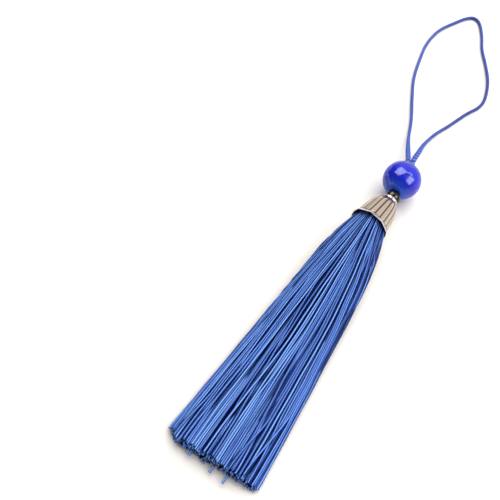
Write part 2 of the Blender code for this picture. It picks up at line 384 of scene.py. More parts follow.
@dataclass(frozen=True)
class MetalFinish:
    """Thin plated metal with a warm nickel tone, darker in the grooves from tarnish and painted shade, with
    painted shade toward the petals' edges and a painted highlight on the lip.
    """

    bright: Colour = (0.475, 0.425, 0.378)
    polished: Colour = (0.80, 0.75, 0.70)
    # Painted highlight: lighter metal on the lip, for the bright band that it mirrors.
    tarnish_and_shade: Colour = (0.075, 0.052, 0.038)

    def make(self) -> bpy.types.Material:
        """Build the finish.

        The mesh's value "groove" is 1 at the bottom of a groove and also paints shade toward the petals'
        edges and along their foot, and "lip" is 1 on the lip, which gets a painted highlight.
        """
        graph = Graph("polished_metal", Metallic=1.0)
        groove = graph.attribute("groove")
        cloud = graph.noise(graph.place(), 420.0, detail=3.0)
        specks = graph.noise(graph.place(), 2400.0, detail=2.0)
        # Tarnish in the grooves with painted shade there, plus painted shade toward the petals' edges and a
        # dark painted line along their foot.
        tarnish_and_shade_mask = (groove + cloud * 0.16 - 0.08).ramp(0.02, 0.80)
        # The lip gets the lighter metal of its painted highlight.
        plate = graph.blend(graph.attribute("lip"), self.bright, self.polished)
        graph.colour(graph.blend(tarnish_and_shade_mask, plate, self.tarnish_and_shade))
        graph.roughness(0.13 + cloud * 0.10 + groove * 0.25)
        graph.relief(cloud * 0.7 + specks * 0.3, 0.02 * MM, 0.5)
        return graph.material


@dataclass(frozen=True)
class BeadFinish:
    """Dyed translucent stone: a deep blue body with a painted glow low on the skirt's side and beside the
    spacer bead, painted shade at the loop's end, pale streaks, and one small chip with a painted glint and a
    painted shadow.

    Attributes:
        deep: Body where light comes in.
        far_side_shade: Painted shade on the body at the loop's end, where the key light falls.
        painted_glow: Painted glow of light coming out of the body, low on the skirt's side.
        painted_azure_glow: Painted azure glow of light coming out of the body beside the spacer bead.
        streak_and_glint: Pale streaks in the stone, and painted glints on the chip's edge and on the rim of
            the bore.
        shadow: Painted shadow line beside the chip.
        streaks: Both ends of each pale line in the stone, as directions from the bead's middle, and how
            strong it is.
        chip: Points of the pale edge of a small chip, where a glint is painted, also as directions.
        chip_shadow_line: Points of the painted shadow line beside it.
    """

    deep: Colour = (0.008, 0.019, 0.50)
    far_side_shade: Colour = (0.012, 0.018, 0.20)
    painted_glow: Colour = (0.045, 0.046, 0.46)
    painted_azure_glow: Colour = (0.018, 0.085, 0.60)
    streak_and_glint: Colour = (0.24, 0.25, 0.70)
    shadow: Colour = (0.001, 0.003, 0.10)
    streaks: tuple[tuple[Colour, Colour, float], ...] = (
        ((-0.506, 0.616, 0.603), (-0.829, 0.311, 0.465), 0.40),
        ((-0.621, 0.737, 0.268), (-0.834, 0.534, 0.142), 0.40),
        ((-0.073, 0.677, 0.732), (-0.282, 0.637, 0.718), 0.18),
        ((-0.788, 0.207, 0.579), (-0.812, 0.149, 0.564), 0.30),
        ((-0.841, 0.262, 0.472), (-0.833, 0.022, 0.552), 0.30),
        ((-0.833, 0.022, 0.552), (-0.846, -0.253, 0.470), 0.30),
    )
    chip: tuple[Colour, ...] = (
        (-0.309, -0.091, 0.947), (-0.222, -0.111, 0.969), (-0.159, -0.171, 0.972), (-0.150, -0.269, 0.952),
        (-0.090, -0.340, 0.936), (-0.076, -0.438, 0.896), (-0.102, -0.490, 0.866),
    )
    chip_shadow_line: tuple[Colour, ...] = (
        (-0.240, -0.190, 0.952), (-0.236, -0.267, 0.934), (-0.197, -0.380, 0.904), (-0.151, -0.498, 0.854),
    )

    def make(self) -> bpy.types.Material:
        """Build the finish from the place of each point in the stone."""
        graph = Graph("blue_stone", Roughness=0.12, Specular_IOR_Level=0.30, Subsurface_Weight=0.25,
                      Subsurface_Scale=2.5 * MM, Subsurface_Radius=(0.25, 0.35, 1.0))
        where = graph.place()
        x, y, z = (graph.node("ShaderNodeSeparateXYZ", {}, {0: where}, axis) for axis in "XYZ")
        radius = AXIS.bead_radius
        cloud = graph.noise(where, 85.0, detail=3.0, distortion=1.2)
        # Painted glow of light that passes through the stone and comes out on its low side, broken up by the
        # cloud.
        painted_glow_mask = (0.2 - x * (0.35 / radius) - y * (0.75 / radius) - (z - radius) * (0.55 / radius)
                    + (cloud - 0.5) * 0.8)
        # Painted shade toward the loop's end, which darkens the side that the key light brightens.
        body = graph.blend((x * (1.0 / radius)).ramp(-0.1, 0.75) * 0.95, self.deep, self.far_side_shade)
        body = graph.blend(painted_glow_mask.ramp(0.25, 1.15), body, self.painted_glow)
        # Painted azure glow of light that comes out beside the spacer bead.
        azure_glow_mask = -0.55 - x * (1.0 / radius) + (cloud - 0.5) * 0.3
        body = graph.blend(azure_glow_mask.ramp(0.0, 0.32), body, self.painted_azure_glow)
        veins = (graph.noise(where * (1.0, 0.35, 1.0), 240.0, distortion=2.5) - 0.5).size()
        body = graph.blend((1 - veins.ramp(0.0, 0.04)) * cloud.ramp(0.50, 0.68) * 0.4, body, self.streak_and_glint)
        sphere = (where - tuple(AXIS.bead_centre)) * (1 / radius)
        for start, end, strength in self.streaks:
            near = 1 - graph.distance(sphere, [start, end]).ramp(0.0, 0.075)
            body = graph.blend(near * (cloud.ramp(0.25, 0.55) * (strength * 1.5)), body, self.streak_and_glint)
        # A painted glint on the chip's edge and a painted shadow along its line, over a small bump.
        edge = 1 - graph.distance(sphere, self.chip).ramp(0.005, 0.055)
        line = 1 - graph.distance(sphere, self.chip_shadow_line).ramp(0.015, 0.065)
        body = graph.blend(edge * 0.55, body, self.streak_and_glint)
        body = graph.blend(line * 0.7, body, self.shadow)
        # Painted glint on the eased rim of the bore.
        axis = AXIS.bore(0.0).to_3x3() @ Vector((1, 0, 0))
        mouth = graph.distance(sphere, [tuple(0.8 * axis), tuple(1.1 * axis)])
        graph.colour(graph.blend((1 - mouth.ramp(0.27, 0.33)) * 0.8, body, self.streak_and_glint))
        graph.relief(edge * 0.6 - line + cloud * 0.3, 0.05 * MM, 0.6)
        return graph.material


@dataclass(frozen=True)
class SpacerFinish:
    """Polished black glass."""

    body: Colour = (0.002, 0.002, 0.002)
    cloud: Colour = (0.012, 0.008, 0.006)

    def make(self) -> bpy.types.Material:
        """Build the finish."""
        graph = Graph("black_glass", Roughness=0.07, Specular_IOR_Level=0.27)
        graph.colour(graph.blend(graph.noise(graph.place(), 500.0, detail=3.0).ramp(0.4, 0.75),
                                 self.body, self.cloud))
        return graph.material


@dataclass(frozen=True)
class TableFinish:
    """Smooth white board."""

    white: Colour = (0.77, 0.765, 0.76)

    def make(self) -> bpy.types.Material:
        """Build the finish."""
        graph = Graph("white_board", Roughness=0.75, Specular_IOR_Level=0.2)
        darker = tuple(0.985 * part for part in self.white)
        graph.colour(graph.blend(graph.noise(graph.place(), 30.0), self.white, darker))
        return graph.material


# Mesh helpers


@dataclass
class Patch:
    """Points and faces of a mesh in the making, with the values that its finish reads.

    Attributes:
        points: (n, 3) places in metres.
        faces: Corner numbers of each face.
        values: A value at each point, by attribute name.
        lay: (corners, 2) map, in the order of the faces' corners.
    """

    points: np.ndarray
    faces: list[list[int]]
    values: dict[str, np.ndarray] = field(default_factory=dict)
    lay: Optional[np.ndarray] = None

    def make(self, name: str, material: bpy.types.Material, sharp_angle: float = 60.0) -> bpy.types.Object:
        """Turn the patch into a shaded object.

        Args:
            name: Piece name.
            material: Its finish.
            sharp_angle: Angle between faces, in degrees, above which an edge is shaded sharp.

        Returns:
            The new object, at the frame's origin.
        """
        mesh = bpy.data.meshes.new(name)
        mesh.from_pydata(self.points.tolist(), [], self.faces)
        for value_name, values in self.values.items():
            held = mesh.attributes.new(value_name, "FLOAT", "POINT")
            held.data.foreach_set("value", values.astype(np.float32))
        if self.lay is not None:
            mesh.uv_layers.new(name="lay").data.foreach_set("uv", self.lay.astype(np.float32).ravel())
        mesh.shade_smooth()
        mesh.set_sharp_from_angle(angle=math.radians(sharp_angle))
        mesh.materials.append(material)
        mesh.validate()
        item = bpy.data.objects.new(name, mesh)
        bpy.context.scene.collection.objects.link(item)
        return item


def grid_faces(rows: int, columns: int, closed_rows: bool) -> np.ndarray:
    """Quads of a grid that closes on itself round its columns.

    Args:
        rows: Rings of points.
        columns: Points in a ring.
        closed_rows: Whether the last ring joins the first.

    Returns:
        (faces, 4) corner numbers.
    """
    last = rows if closed_rows else rows - 1
    row, column = np.meshgrid(np.arange(last), np.arange(columns), indexing="ij")
    after_row, after_column = (row + 1) % rows, (column + 1) % columns
    corners = (row * columns + column, row * columns + after_column,
               after_row * columns + after_column, after_row * columns + column)
    return np.stack(corners, axis=-1).reshape(-1, 4)


def smooth_through(points: np.ndarray, samples: int) -> np.ndarray:
    """Points on a smooth curve through the given ones.

    Args:
        points: (n, k) points of the curve.
        samples: Points for each stretch between two given ones.

    Returns:
        (m, k) points of the curve, unevenly spaced as the given ones are.
    """
    padded = np.vstack((points[0] * 2 - points[1], points, points[-1] * 2 - points[-2]))
    t = np.linspace(0, 1, samples, endpoint=False)[:, None]
    pieces = []
    for before, start, end, after in zip(padded, padded[1:], padded[2:], padded[3:]):
        pieces.append(0.5 * (2 * start + (end - before) * t
                             + (2 * before - 5 * start + 4 * end - after) * t ** 2
                             + (3 * start - before - 3 * end + after) * t ** 3))
    return np.vstack((*pieces, points[-1:]))


def evenly(points: np.ndarray, spacing: float) -> np.ndarray:
    """Read a line again at even steps.

    Args:
        points: (n, 3) points of the line.
        spacing: Wanted distance between points.

    Returns:
        (m, 3) points, the ends included.
    """
    length = float(np.linalg.norm(np.diff(points, axis=0), axis=1).sum())
    return resampled(points, round(length / spacing) + 1)


def resampled(line: np.ndarray, count: int) -> np.ndarray:
    """A line read again at a fixed number of even points."""
    walked = np.concatenate(([0.0], np.cumsum(np.linalg.norm(np.diff(line, axis=0), axis=1))))
    stops = np.linspace(0, walked[-1], count)
    return np.column_stack([np.interp(stops, walked, line[:, axis]) for axis in range(3)])


def unit(vectors: np.ndarray) -> np.ndarray:
    """Vectors of length 1."""
    return vectors / np.linalg.norm(vectors, axis=-1, keepdims=True)


def step(values: np.ndarray, low: float, high: float) -> np.ndarray:
    """Smooth step of an array, 0 at low and 1 at high."""
    t = np.clip((values - low) / (high - low), 0, 1)
    return t * t * (3 - 2 * t)


# Places that the beads, the cap and the cord share


@dataclass(frozen=True)
class Axis:
    """Where the beads and the cap lie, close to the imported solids.

    Attributes:
        gap: Clearance between neighbours.
        bead_radius: Radius of the large bead.
        bead_centre: Centre of the large bead.
        bore_yaw: Turn of the beads' bore about Z.
        bore_radius: Radius of the large bead's bore.
        bore_chamfer: How far the bore's edges are eased.
        spacer_radius: Radius of the small bead.
        spacer_half_length: Half of the small bead's length along the bore.
        collar_mouth: Radius of the hole in the cap's collar.
        rim: Middle of the cap's rim.
    """

    gap: float = 0.3 * MM
    bead_radius: float = 8.0 * MM
    bead_centre: Vector = field(default_factory=lambda: Vector((0, 0, 7.88)) * MM)
    bore_yaw: float = math.radians(4.8)
    bore_radius: float = 2.05 * MM
    bore_chamfer: float = 0.25 * MM
    spacer_radius: float = 3.15 * MM
    spacer_half_length: float = 2.75 * MM
    collar_mouth: float = 2.75 * MM
    rim: Vector = field(default_factory=lambda: Vector((-27.5, 0.9, 8.25)) * MM)

    def bore(self, along: float) -> Matrix:
        """Frame on the bore, at a distance from the large bead's centre."""
        turn = Matrix.Rotation(self.bore_yaw, 4, "Z")
        return Matrix.Translation(self.bead_centre) @ turn @ Matrix.Translation((along, 0, 0))

    def spacer_reach(self, radius: float) -> float:
        """How far the small bead's surface is from its middle plane, at a radius."""
        return self.spacer_half_length * math.sqrt(1 - (radius / self.spacer_radius) ** 2)

    @property
    def spacer(self) -> Vector:
        """Middle of the small bead."""
        edge = self.bore_radius + self.bore_chamfer
        away = math.sqrt(self.bead_radius ** 2 - edge ** 2) + self.spacer_reach(edge) + self.gap
        return self.bore(-away).translation

    @property
    def cap_line(self) -> Vector:
        """From the rim's middle to the collar's mouth."""
        along = self.spacer - self.rim
        return along - along.normalized() * (self.spacer_reach(self.collar_mouth) + self.gap)

    def cap_frame(self) -> Matrix:
        """Frame of the cap: X from the rim's middle to the collar, Z up."""
        x_axis = self.cap_line.normalized()
        y_axis = Vector((0, 0, 1)).cross(x_axis).normalized()
        turned = Matrix((x_axis, y_axis, x_axis.cross(y_axis))).transposed().to_4x4()
        turned.translation = self.rim
        return turned


AXIS = Axis()


def moved(points: np.ndarray, place: Matrix) -> np.ndarray:
    """Points taken from a local frame into the model's frame."""
    turn = np.array(place.to_3x3())
    return points @ turn.T + np.array(place.translation)


# Studio


@dataclass
class Viewpoint:
    """The camera, at the photograph's place."""

    place: Vector = field(default_factory=lambda: Vector((-236.19, -72.05, 321.21)) * MM)
    forward: Vector = field(default_factory=lambda: Vector((0.4643, 0.2846, -0.8387)))
    roll: float = math.radians(1.0)
    lens: float = 68.76
    sensor: float = 36.0

    def build(self) -> bpy.types.Object:
        """Add the camera and make it the scene's.

        Returns:
            The camera.
        """
        forward = self.forward.normalized()
        level = forward.cross(Vector((0, 0, 1))).normalized()
        above = level.cross(forward)
        right = math.cos(self.roll) * level + math.sin(self.roll) * above
        up = math.cos(self.roll) * above - math.sin(self.roll) * level
        data = bpy.data.cameras.new("camera")
        data.lens = self.lens
        data.sensor_width = self.sensor
        data.clip_start = 0.01
        camera = bpy.data.objects.new("camera", data)
        turned = Matrix((right, up, -forward)).transposed().to_4x4()
        turned.translation = self.place
        camera.matrix_world = turned
        bpy.context.scene.collection.objects.link(camera)
        bpy.context.scene.camera = camera
        return camera


@dataclass
class SoftBox:
    """One soft rectangular lamp that faces the tassel.

    Attributes:
        name: Lamp name.
        direction: From the tassel to the lamp.
        width: Level side, in metres.
        height: Other side, in metres.
        power: Light, in watts.
        share: Whether the lamp lights surfaces or shows in glossy ones.
        tint: Colour of the light.
        distance: From the tassel to the lamp.
        aim: Middle of the tassel.
    """

    name: str
    direction: tuple[float, float, float]
    width: float
    height: float
    power: float
    share: Share
    tint: Colour = (1.0, 0.985, 0.965)
    distance: float = 0.9
    aim: tuple[float, float, float] = (-0.05, 0.0, 0.0)

    def build(self) -> bpy.types.Object:
        """Add the lamp.

        Returns:
            The lamp.
        """
        data = bpy.data.lights.new(self.name, "AREA")
        data.shape = "RECTANGLE"
        data.size = self.width
        data.size_y = self.height
        data.energy = self.power
        data.color = self.tint
        lamp = bpy.data.objects.new(self.name, data)
        away = Vector(self.direction).normalized()
        lamp.location = Vector(self.aim) + away * self.distance
        lamp.rotation_euler = away.to_track_quat("Z", "Y").to_euler()
        lamp.visible_diffuse = self.share is Share.LIGHT
        lamp.visible_glossy = self.share is Share.HIGHLIGHTS
        bpy.context.scene.collection.objects.link(lamp)
        return lamp


@dataclass
class Studio:
    """White table, a dim room with one warm bright side, and two soft boxes."""

    room: Colour = (0.12, 0.12, 0.13)
    bright_side: Colour = (1.22, 1.12, 1.02)
    bright_direction: tuple[float, float, float] = (0.76, -0.34, 0.55)
    table_half: float = 20.0
    boxes: tuple[SoftBox, ...] = (
        SoftBox("key_light", (0.72, -0.06, 0.69), 1.30, 1.10, 13.0, Share.LIGHT),
        SoftBox("fill_left", (0.19, 0.385, 0.895), 1.00, 0.90, 1.5, Share.LIGHT),
        SoftBox("fill_right", (0.0, -0.79, 0.61), 0.95, 0.80, 3.6, Share.LIGHT),
        SoftBox("soft_box_left", (0.19, 0.385, 0.895), 0.62, 0.54, 13.0, Share.HIGHLIGHTS, distance=0.74),
        SoftBox("soft_box_right", (0.0, -0.79, 0.61), 0.56, 0.46, 10.0, Share.HIGHLIGHTS, distance=0.74),
    )

    def build(self) -> None:
        """Add the table, the room's light and the lamps."""
        self._room()
        for box in self.boxes:
            box.build()
        half = self.table_half
        corners = np.array([(-half, -half, 0), (half, -half, 0), (half, half, 0), (-half, half, 0)])
        table = Patch(corners, [[0, 1, 2, 3]]).make("table", TableFinish().make())

    def _room(self) -> None:
        """Light the room dimly, with a warm bright side that the metal mirrors."""
        world = bpy.data.worlds.new("room")
        world.use_nodes = True
        tree = world.node_tree
        where = tree.nodes.new("ShaderNodeTexCoord")
        facing = tree.nodes.new("ShaderNodeVectorMath")
        facing.operation = "DOT_PRODUCT"
        facing.inputs[1].default_value = Vector(self.bright_direction).normalized()
        ramp = tree.nodes.new("ShaderNodeValToRGB")
        ramp.color_ramp.interpolation = "EASE"
        ramp.color_ramp.elements[0].position = 0.15
        ramp.color_ramp.elements[0].color = (*self.room, 1.0)
        ramp.color_ramp.elements[1].position = 0.75
        ramp.color_ramp.elements[1].color = (*self.bright_side, 1.0)
        tree.links.new(where.outputs["Generated"], facing.inputs[0])
        tree.links.new(facing.outputs["Value"], ramp.inputs["Fac"])
        tree.links.new(ramp.outputs["Color"], tree.nodes["Background"].inputs["Color"])
        bpy.context.scene.world = world
        bpy.context.scene.view_settings.view_transform = "Standard"


# Pieces of the tassel


@dataclass
class HangingCord:
    """One length of round braid, both ends in the large bead's bore.

    Attributes:
        radius: Half the cord's diameter.
        swell: How much thicker it is where it is loose, beside the bead.
        swell_length: How far the thick stretch reaches.
        squeeze: How much slimmer it is again inside the bore.
        columns: Columns of the braid's herringbone.
        ridge_pitch: From one ridge to the next along the cord.
        stretch: How much longer the pitch is where the cord is loose.
        ridge_share: Share of the pitch that a ridge fills.
        ridge_slant: How far a ridge slants across its column, in pitches.
        relief: Depth between the ridges.
    """

    radius: float = 0.74 * MM
    swell: float = 0.40 * MM
    swell_length: float = 30.0 * MM
    squeeze: float = 0.12 * MM
    columns: int = 4
    ridge_pitch: float = 1.15 * MM
    stretch: float = 1.05 * MM
    ridge_share: float = 0.86
    ridge_slant: float = 0.60
    relief: float = 0.28 * MM
    sides: int = 24
    ring_spacing: float = 0.18 * MM
    leg_offset: float = 1.0 * MM
    depth: float = 6.0 * MM
    straight_to: float = 1.0 * MM
    floor_level: float = 0.74 * MM
    route: tuple[tuple[float, float, float], ...] = (
        (11.2, 2.9, 7.6), (19.0, 6.4, 4.6), (27.0, 9.7, 1.7), (37.3, 13.5, 0.74), (48.7, 18.9, 0.74),
        (60.0, 23.8, 0.74), (72.3, 26.9, 0.74), (83.0, 28.6, 0.74), (93.6, 27.6, 0.74), (103.0, 23.2, 0.74),
        (108.4, 19.9, 0.74), (110.1, 16.9, 0.74), (108.1, 13.4, 0.74), (101.5, 9.2, 0.74), (93.2, 5.2, 0.74),
        (85.1, -0.3, 0.74), (76.3, -5.4, 0.74), (66.7, -8.5, 0.74), (60.3, -8.5, 0.74), (53.2, -5.4, 0.74),
        (43.3, -2.0, 0.74), (35.3, 1.0, 0.9), (27.0, 2.1, 2.3), (19.0, 1.5, 5.0), (11.7, 0.7, 7.6),
    )

    def centreline(self) -> np.ndarray:
        """Even points down the middle of the cord."""
        inner = AXIS.bead_radius - self.depth
        mouth = AXIS.bead_radius - self.straight_to
        legs = [[AXIS.bore(along) @ Vector((0, side * self.leg_offset, 0)) for along in (inner, mouth)]
                for side in (1, -1)]
        points = [*legs[0], *(Vector(point) * MM for point in self.route), *reversed(legs[1])]
        line = evenly(smooth_through(np.array([tuple(p) for p in points]), 24), self.ring_spacing)
        line[:, 2] = np.maximum(line[:, 2], self.floor_level)
        return line

    def braid(self, around: np.ndarray, passed: np.ndarray) -> np.ndarray:
        """Height of the braid's surface, a herringbone of slanting ridges.

        Args:
            around: Turns round the cord, from 0 to 1.
            passed: Ridges passed along the cord.

        Returns:
            Heights from 0 between ridges to 1 on a ridge's crown.
        """
        slant = np.abs((self.columns * around) % 2 - 1)
        across = (passed + self.ridge_slant * slant) % 1
        ridge = np.sqrt(np.maximum(1 - ((2 * across - 1) / self.ridge_share) ** 2, 0))
        return ridge * (1 - 0.12 * np.abs(2 * slant - 1) ** 4)

    def build(self) -> bpy.types.Object:
        """Returns:
            The cord.
        """
        line = self.centreline()
        count = len(line)
        tangent = unit(np.gradient(line, axis=0))
        side = unit(np.cross(tangent, (0.0, 0.0, 1.0)))
        above = np.cross(side, tangent)
        walked = np.concatenate(([0.0], np.cumsum(np.linalg.norm(np.diff(line, axis=0), axis=1))))
        around = np.arange(self.sides) / self.sides
        from_end = np.minimum(walked, walked[-1] - walked)
        loose = 1 - step(from_end, 0.5 * self.swell_length, self.swell_length)
        pitch = self.ridge_pitch + self.stretch * loose
        height = self.braid(around[None, :], (np.cumsum(np.gradient(walked) / pitch))[:, None])
        thick = self.radius + self.swell * loose
        thick -= self.squeeze * (1 - step(from_end, self.depth - 1.5 * MM, self.depth + 0.5 * MM))
        reach = thick[:, None] - self.relief * (1 - height)
        angle = math.tau * around
        points = (line[:, None] + reach[..., None] * (np.cos(angle)[None, :, None] * side[:, None]
                                                      + np.sin(angle)[None, :, None] * above[:, None]))
        faces = grid_faces(count, self.sides, False)[:, ::-1].tolist()
        faces.append(list(range(self.sides)))
        faces.append([(count - 1) * self.sides + k for k in reversed(range(self.sides))])
        patch = Patch(points.reshape(-1, 3), faces, {"braid_height": height.ravel()})
        cord = patch.make("cord_loop_braid", CordFinish().make(), 80.0)
        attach(cord, "root")
        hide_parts("cord_loop")
        return cord


@dataclass
class LargeBead:
    """Polished round bead with an eased bore, flat where it rests."""

    columns: int = 120
    arc_rows: int = 96
    bore_rows: int = 20

    def build(self) -> bpy.types.Object:
        """Build the bead.

        Returns:
            The bead.
        """
        radius, bore, ease = AXIS.bead_radius, AXIS.bore_radius, AXIS.bore_chamfer
        reach = math.acos((bore + ease) / radius)
        arc = np.linspace(reach, -reach, self.arc_rows)
        outer = np.column_stack((radius * np.sin(arc), radius * np.cos(arc)))
        mouth = radius * math.sin(reach)
        turn = np.linspace(0, math.pi / 2, 6)[1:]
        low_edge = np.column_stack((-mouth + ease * (1 - np.cos(turn)), bore + ease * (1 - np.sin(turn))))
        walls = np.linspace(-mouth + ease, mouth - ease, self.bore_rows)[1:-1]
        wall = np.column_stack((walls, np.full(len(walls), bore)))
        high_edge = low_edge[::-1] * (-1, 1)
        profile = np.vstack((outer, low_edge, wall, high_edge))
        item = turned_piece("large_bead_stone", profile, self.columns, AXIS.bore(0.0), BeadFinish().make())
        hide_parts("large_bead")
        return item


@dataclass
class SmallBead:
    """Black spacer bead with flat-ground ends."""

    columns: int = 72
    arc_rows: int = 48
    bore_radius: float = 0.9 * MM
    ease: float = 0.12 * MM

    def build(self) -> bpy.types.Object:
        """Build the bead.

        Returns:
            The bead.
        """
        edge = self.bore_radius + self.ease
        reach = math.acos(edge / AXIS.spacer_radius)
        arc = np.linspace(reach, -reach, self.arc_rows)
        outer = np.column_stack((AXIS.spacer_half_length * np.sin(arc), AXIS.spacer_radius * np.cos(arc)))
        mouth = outer[0, 0] - 0.5 * self.ease
        wall = np.column_stack((np.linspace(-mouth, mouth, 8), np.full(8, self.bore_radius)))
        item = turned_piece("small_bead_glass", np.vstack((outer, wall)), self.columns,
                            AXIS.bore(0.0).to_3x3().to_4x4(), SpacerFinish().make(), AXIS.spacer)
        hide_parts("small_bead")
        return item


def turned_piece(name: str, profile: np.ndarray, columns: int, place: Matrix, material: bpy.types.Material,
                 centre: Optional[Vector] = None) -> bpy.types.Object:
    """Spin a closed profile into a ring-shaped piece that rests on the table.

    Args:
        name: Piece name.
        profile: (rows, 2) places along the bore and radii, in order round the section.
        columns: Points round the bore.
        place: Frame with X along the bore.
        material: Its finish.
        centre: Middle of the piece, where it isn't in the frame.

    Returns:
        The piece, riding on the body.
    """
    angle = math.tau * np.arange(columns) / columns
    along = np.repeat(profile[:, :1], columns, axis=1)
    points = np.stack((along, profile[:, 1:] * np.cos(angle), profile[:, 1:] * np.sin(angle)), axis=-1)
    placed = moved(points.reshape(-1, 3), place)
    if centre is not None:
        placed += np.array(centre)
    placed[:, 2] = np.maximum(placed[:, 2], 0.0)
    faces = grid_faces(len(profile), columns, True)
    item = Patch(placed, faces.tolist()).make(name, material, 50.0)
    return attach(item, "root")


@dataclass
class FlutedCap:
    """Thin metal tulip: eighteen petals, a scalloped lip and a plain collar.

    Attributes:
        petals: Petals round the cap.
        first_groove: Angle of one groove about the cap's axis.
        columns_a_petal: Points across a petal.
        rows: Rings of points from the rim to the collar.
    """

    petals: int = 18
    first_groove: float = math.radians(98.0)
    columns_a_petal: int = 22
    rows: int = 120
    groove_depth: float = 0.46 * MM
    groove_half_width: float = 0.40 * MM
    crown_depth: float = 0.20 * MM
    foot_depth: float = 0.07 * MM
    petal_start: float = 0.090
    petal_shoulder: float = 0.80
    petal_top: float = 0.912
    scallop_depth: float = 0.4 * MM
    lip_wall: float = 0.6 * MM
    wall: float = 0.8 * MM
    bore_share: float = 0.86
    outline: tuple[tuple[float, float], ...] = (
        (0.000, 8.22), (0.030, 7.95), (0.065, 7.52), (0.085, 7.48), (0.250, 7.10), (0.450, 6.62),
        (0.620, 6.10), (0.760, 5.28), (0.860, 4.25), (0.905, 3.62), (0.930, 3.36), (0.950, 3.38),
        (0.975, 3.32), (1.000, 3.15),
    )

    def radius_at(self, share: np.ndarray) -> np.ndarray:
        """Outside radius over the petals' crowns at shares of the length."""
        table = smooth_through(np.array(self.outline), 12)
        return np.interp(share, table[:, 0], table[:, 1]) * MM

    def petal(self, share: np.ndarray, angle: np.ndarray) -> tuple[np.ndarray, np.ndarray]:
        """Depth of the surface under the petals' crowns.

        Args:
            share: Share of the length at each point.
            angle: Angle about the cap's axis at each point.

        Returns:
            The depth in metres, and how far each point is down in a groove, from 0 to 1, raised toward the
            petals' edges and along their foot to paint shade there.
        """
        radius = self.radius_at(share)
        across = (self.petals * (angle - self.first_groove) / math.tau) % 1.0
        half = math.pi * radius / self.petals
        offset = np.abs(2 * across - 1)
        arch = np.clip((share - self.petal_shoulder) / (self.petal_top - self.petal_shoulder), 0, 1)
        width = np.sqrt(1 - arch ** 2)
        inside = (width - offset) * half
        length = AXIS.cap_line.length
        inside = np.minimum(inside, (self.petal_top - share) * length * 1.6)
        lift = step(inside, 0.0, self.groove_half_width)
        foot = step((share - self.petal_start) * length, 0.0, 0.30 * MM)
        crown = self.crown_depth * offset ** 2
        there = step(share, self.petal_start - 0.02, self.petal_start) * (1 - step(share, 0.905, 0.925))
        shallow = 1 - 0.45 * step(share, 0.70, 0.90)
        depth = there * shallow * (self.groove_depth * (1 - lift) + crown * lift)
        depth = np.maximum(depth * (0.35 + 0.65 * foot), there * self.foot_depth * (1 - foot))
        # The second value paints shade toward the petals' edges and as a dark line along their foot, on top
        # of the groove.
        return depth, there * np.maximum(1 - lift + 0.45 * lift * offset ** 3, 0.9 * (1 - foot))

    def scallop(self, share: np.ndarray, angle: np.ndarray) -> np.ndarray:
        """How far the rim's nine lobes draw back between their middles, in metres."""
        wave = np.abs(np.sin(self.petals / 4 * (angle - self.first_groove) + math.pi / 4))
        return self.scallop_depth * (1 - wave) * (1 - step(share, 0.08, 0.28))

    def build(self) -> bpy.types.Object:
        """Build the cap.

        Returns:
            The cap.
        """
        length = AXIS.cap_line.length
        columns = self.petals * self.columns_a_petal
        around = math.tau * np.arange(columns) / columns
        share = np.concatenate((np.linspace(0, 0.10, 22)[:-1], np.linspace(0.10, 0.76, 36)[:-1],
                                np.linspace(0.76, 1.0, self.rows - 56)))
        rows, angle = np.meshgrid(share, around, indexing="ij")
        depth, groove = self.petal(rows, angle)
        radius = self.radius_at(rows) - depth
        along = rows * length + self.scallop(rows, angle)
        inner_share = np.array([self.bore_share, *np.linspace(0.84, 0.02, 30), 0.0])
        inner_rows, inner_angle = np.meshgrid(inner_share, around, indexing="ij")
        wall = self.lip_wall + (self.wall - self.lip_wall) * step(inner_rows, 0.06, 0.12)
        inner_radius = self.radius_at(inner_rows) - wall
        inner_along = inner_rows * length + self.scallop(inner_rows, inner_angle)
        mouth_along = np.array([1.0, 0.985, self.bore_share])[:, None] * length + np.zeros(columns)
        mouth_radius = np.array([AXIS.collar_mouth + 0.10 * MM, AXIS.collar_mouth, AXIS.collar_mouth])
        mouth_radius = mouth_radius[:, None] + np.zeros(columns)
        lip_along = self.scallop(np.zeros(columns), around)[None]
        lip_radius = np.full((1, columns), self.radius_at(np.array([0.0]))[0] - 0.5 * self.lip_wall)
        lip_out = lip_along - 0.10 * MM
        all_along = np.vstack((along, mouth_along, inner_along, lip_out))
        all_radius = np.vstack((radius, mouth_radius, inner_radius, lip_radius))
        plain = np.zeros((len(all_along) - len(groove), columns))
        groove_there = np.vstack((groove, plain))
        # The lip's value, where the finish paints a highlight.
        lip_there = np.vstack((1 - step(rows, 0.055, 0.080), plain))
        points = np.stack((all_along, all_radius * np.cos(around), all_radius * np.sin(around)), axis=-1)
        faces = grid_faces(len(all_along), columns, True).tolist()
        patch = Patch(moved(points.reshape(-1, 3), AXIS.cap_frame()), faces,
                      {"groove": groove_there.ravel(), "lip": lip_there.ravel()})
        item = patch.make("cap_metal", MetalFinish().make(), 75.0)
        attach(item, "root")
        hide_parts("cap")
        return item


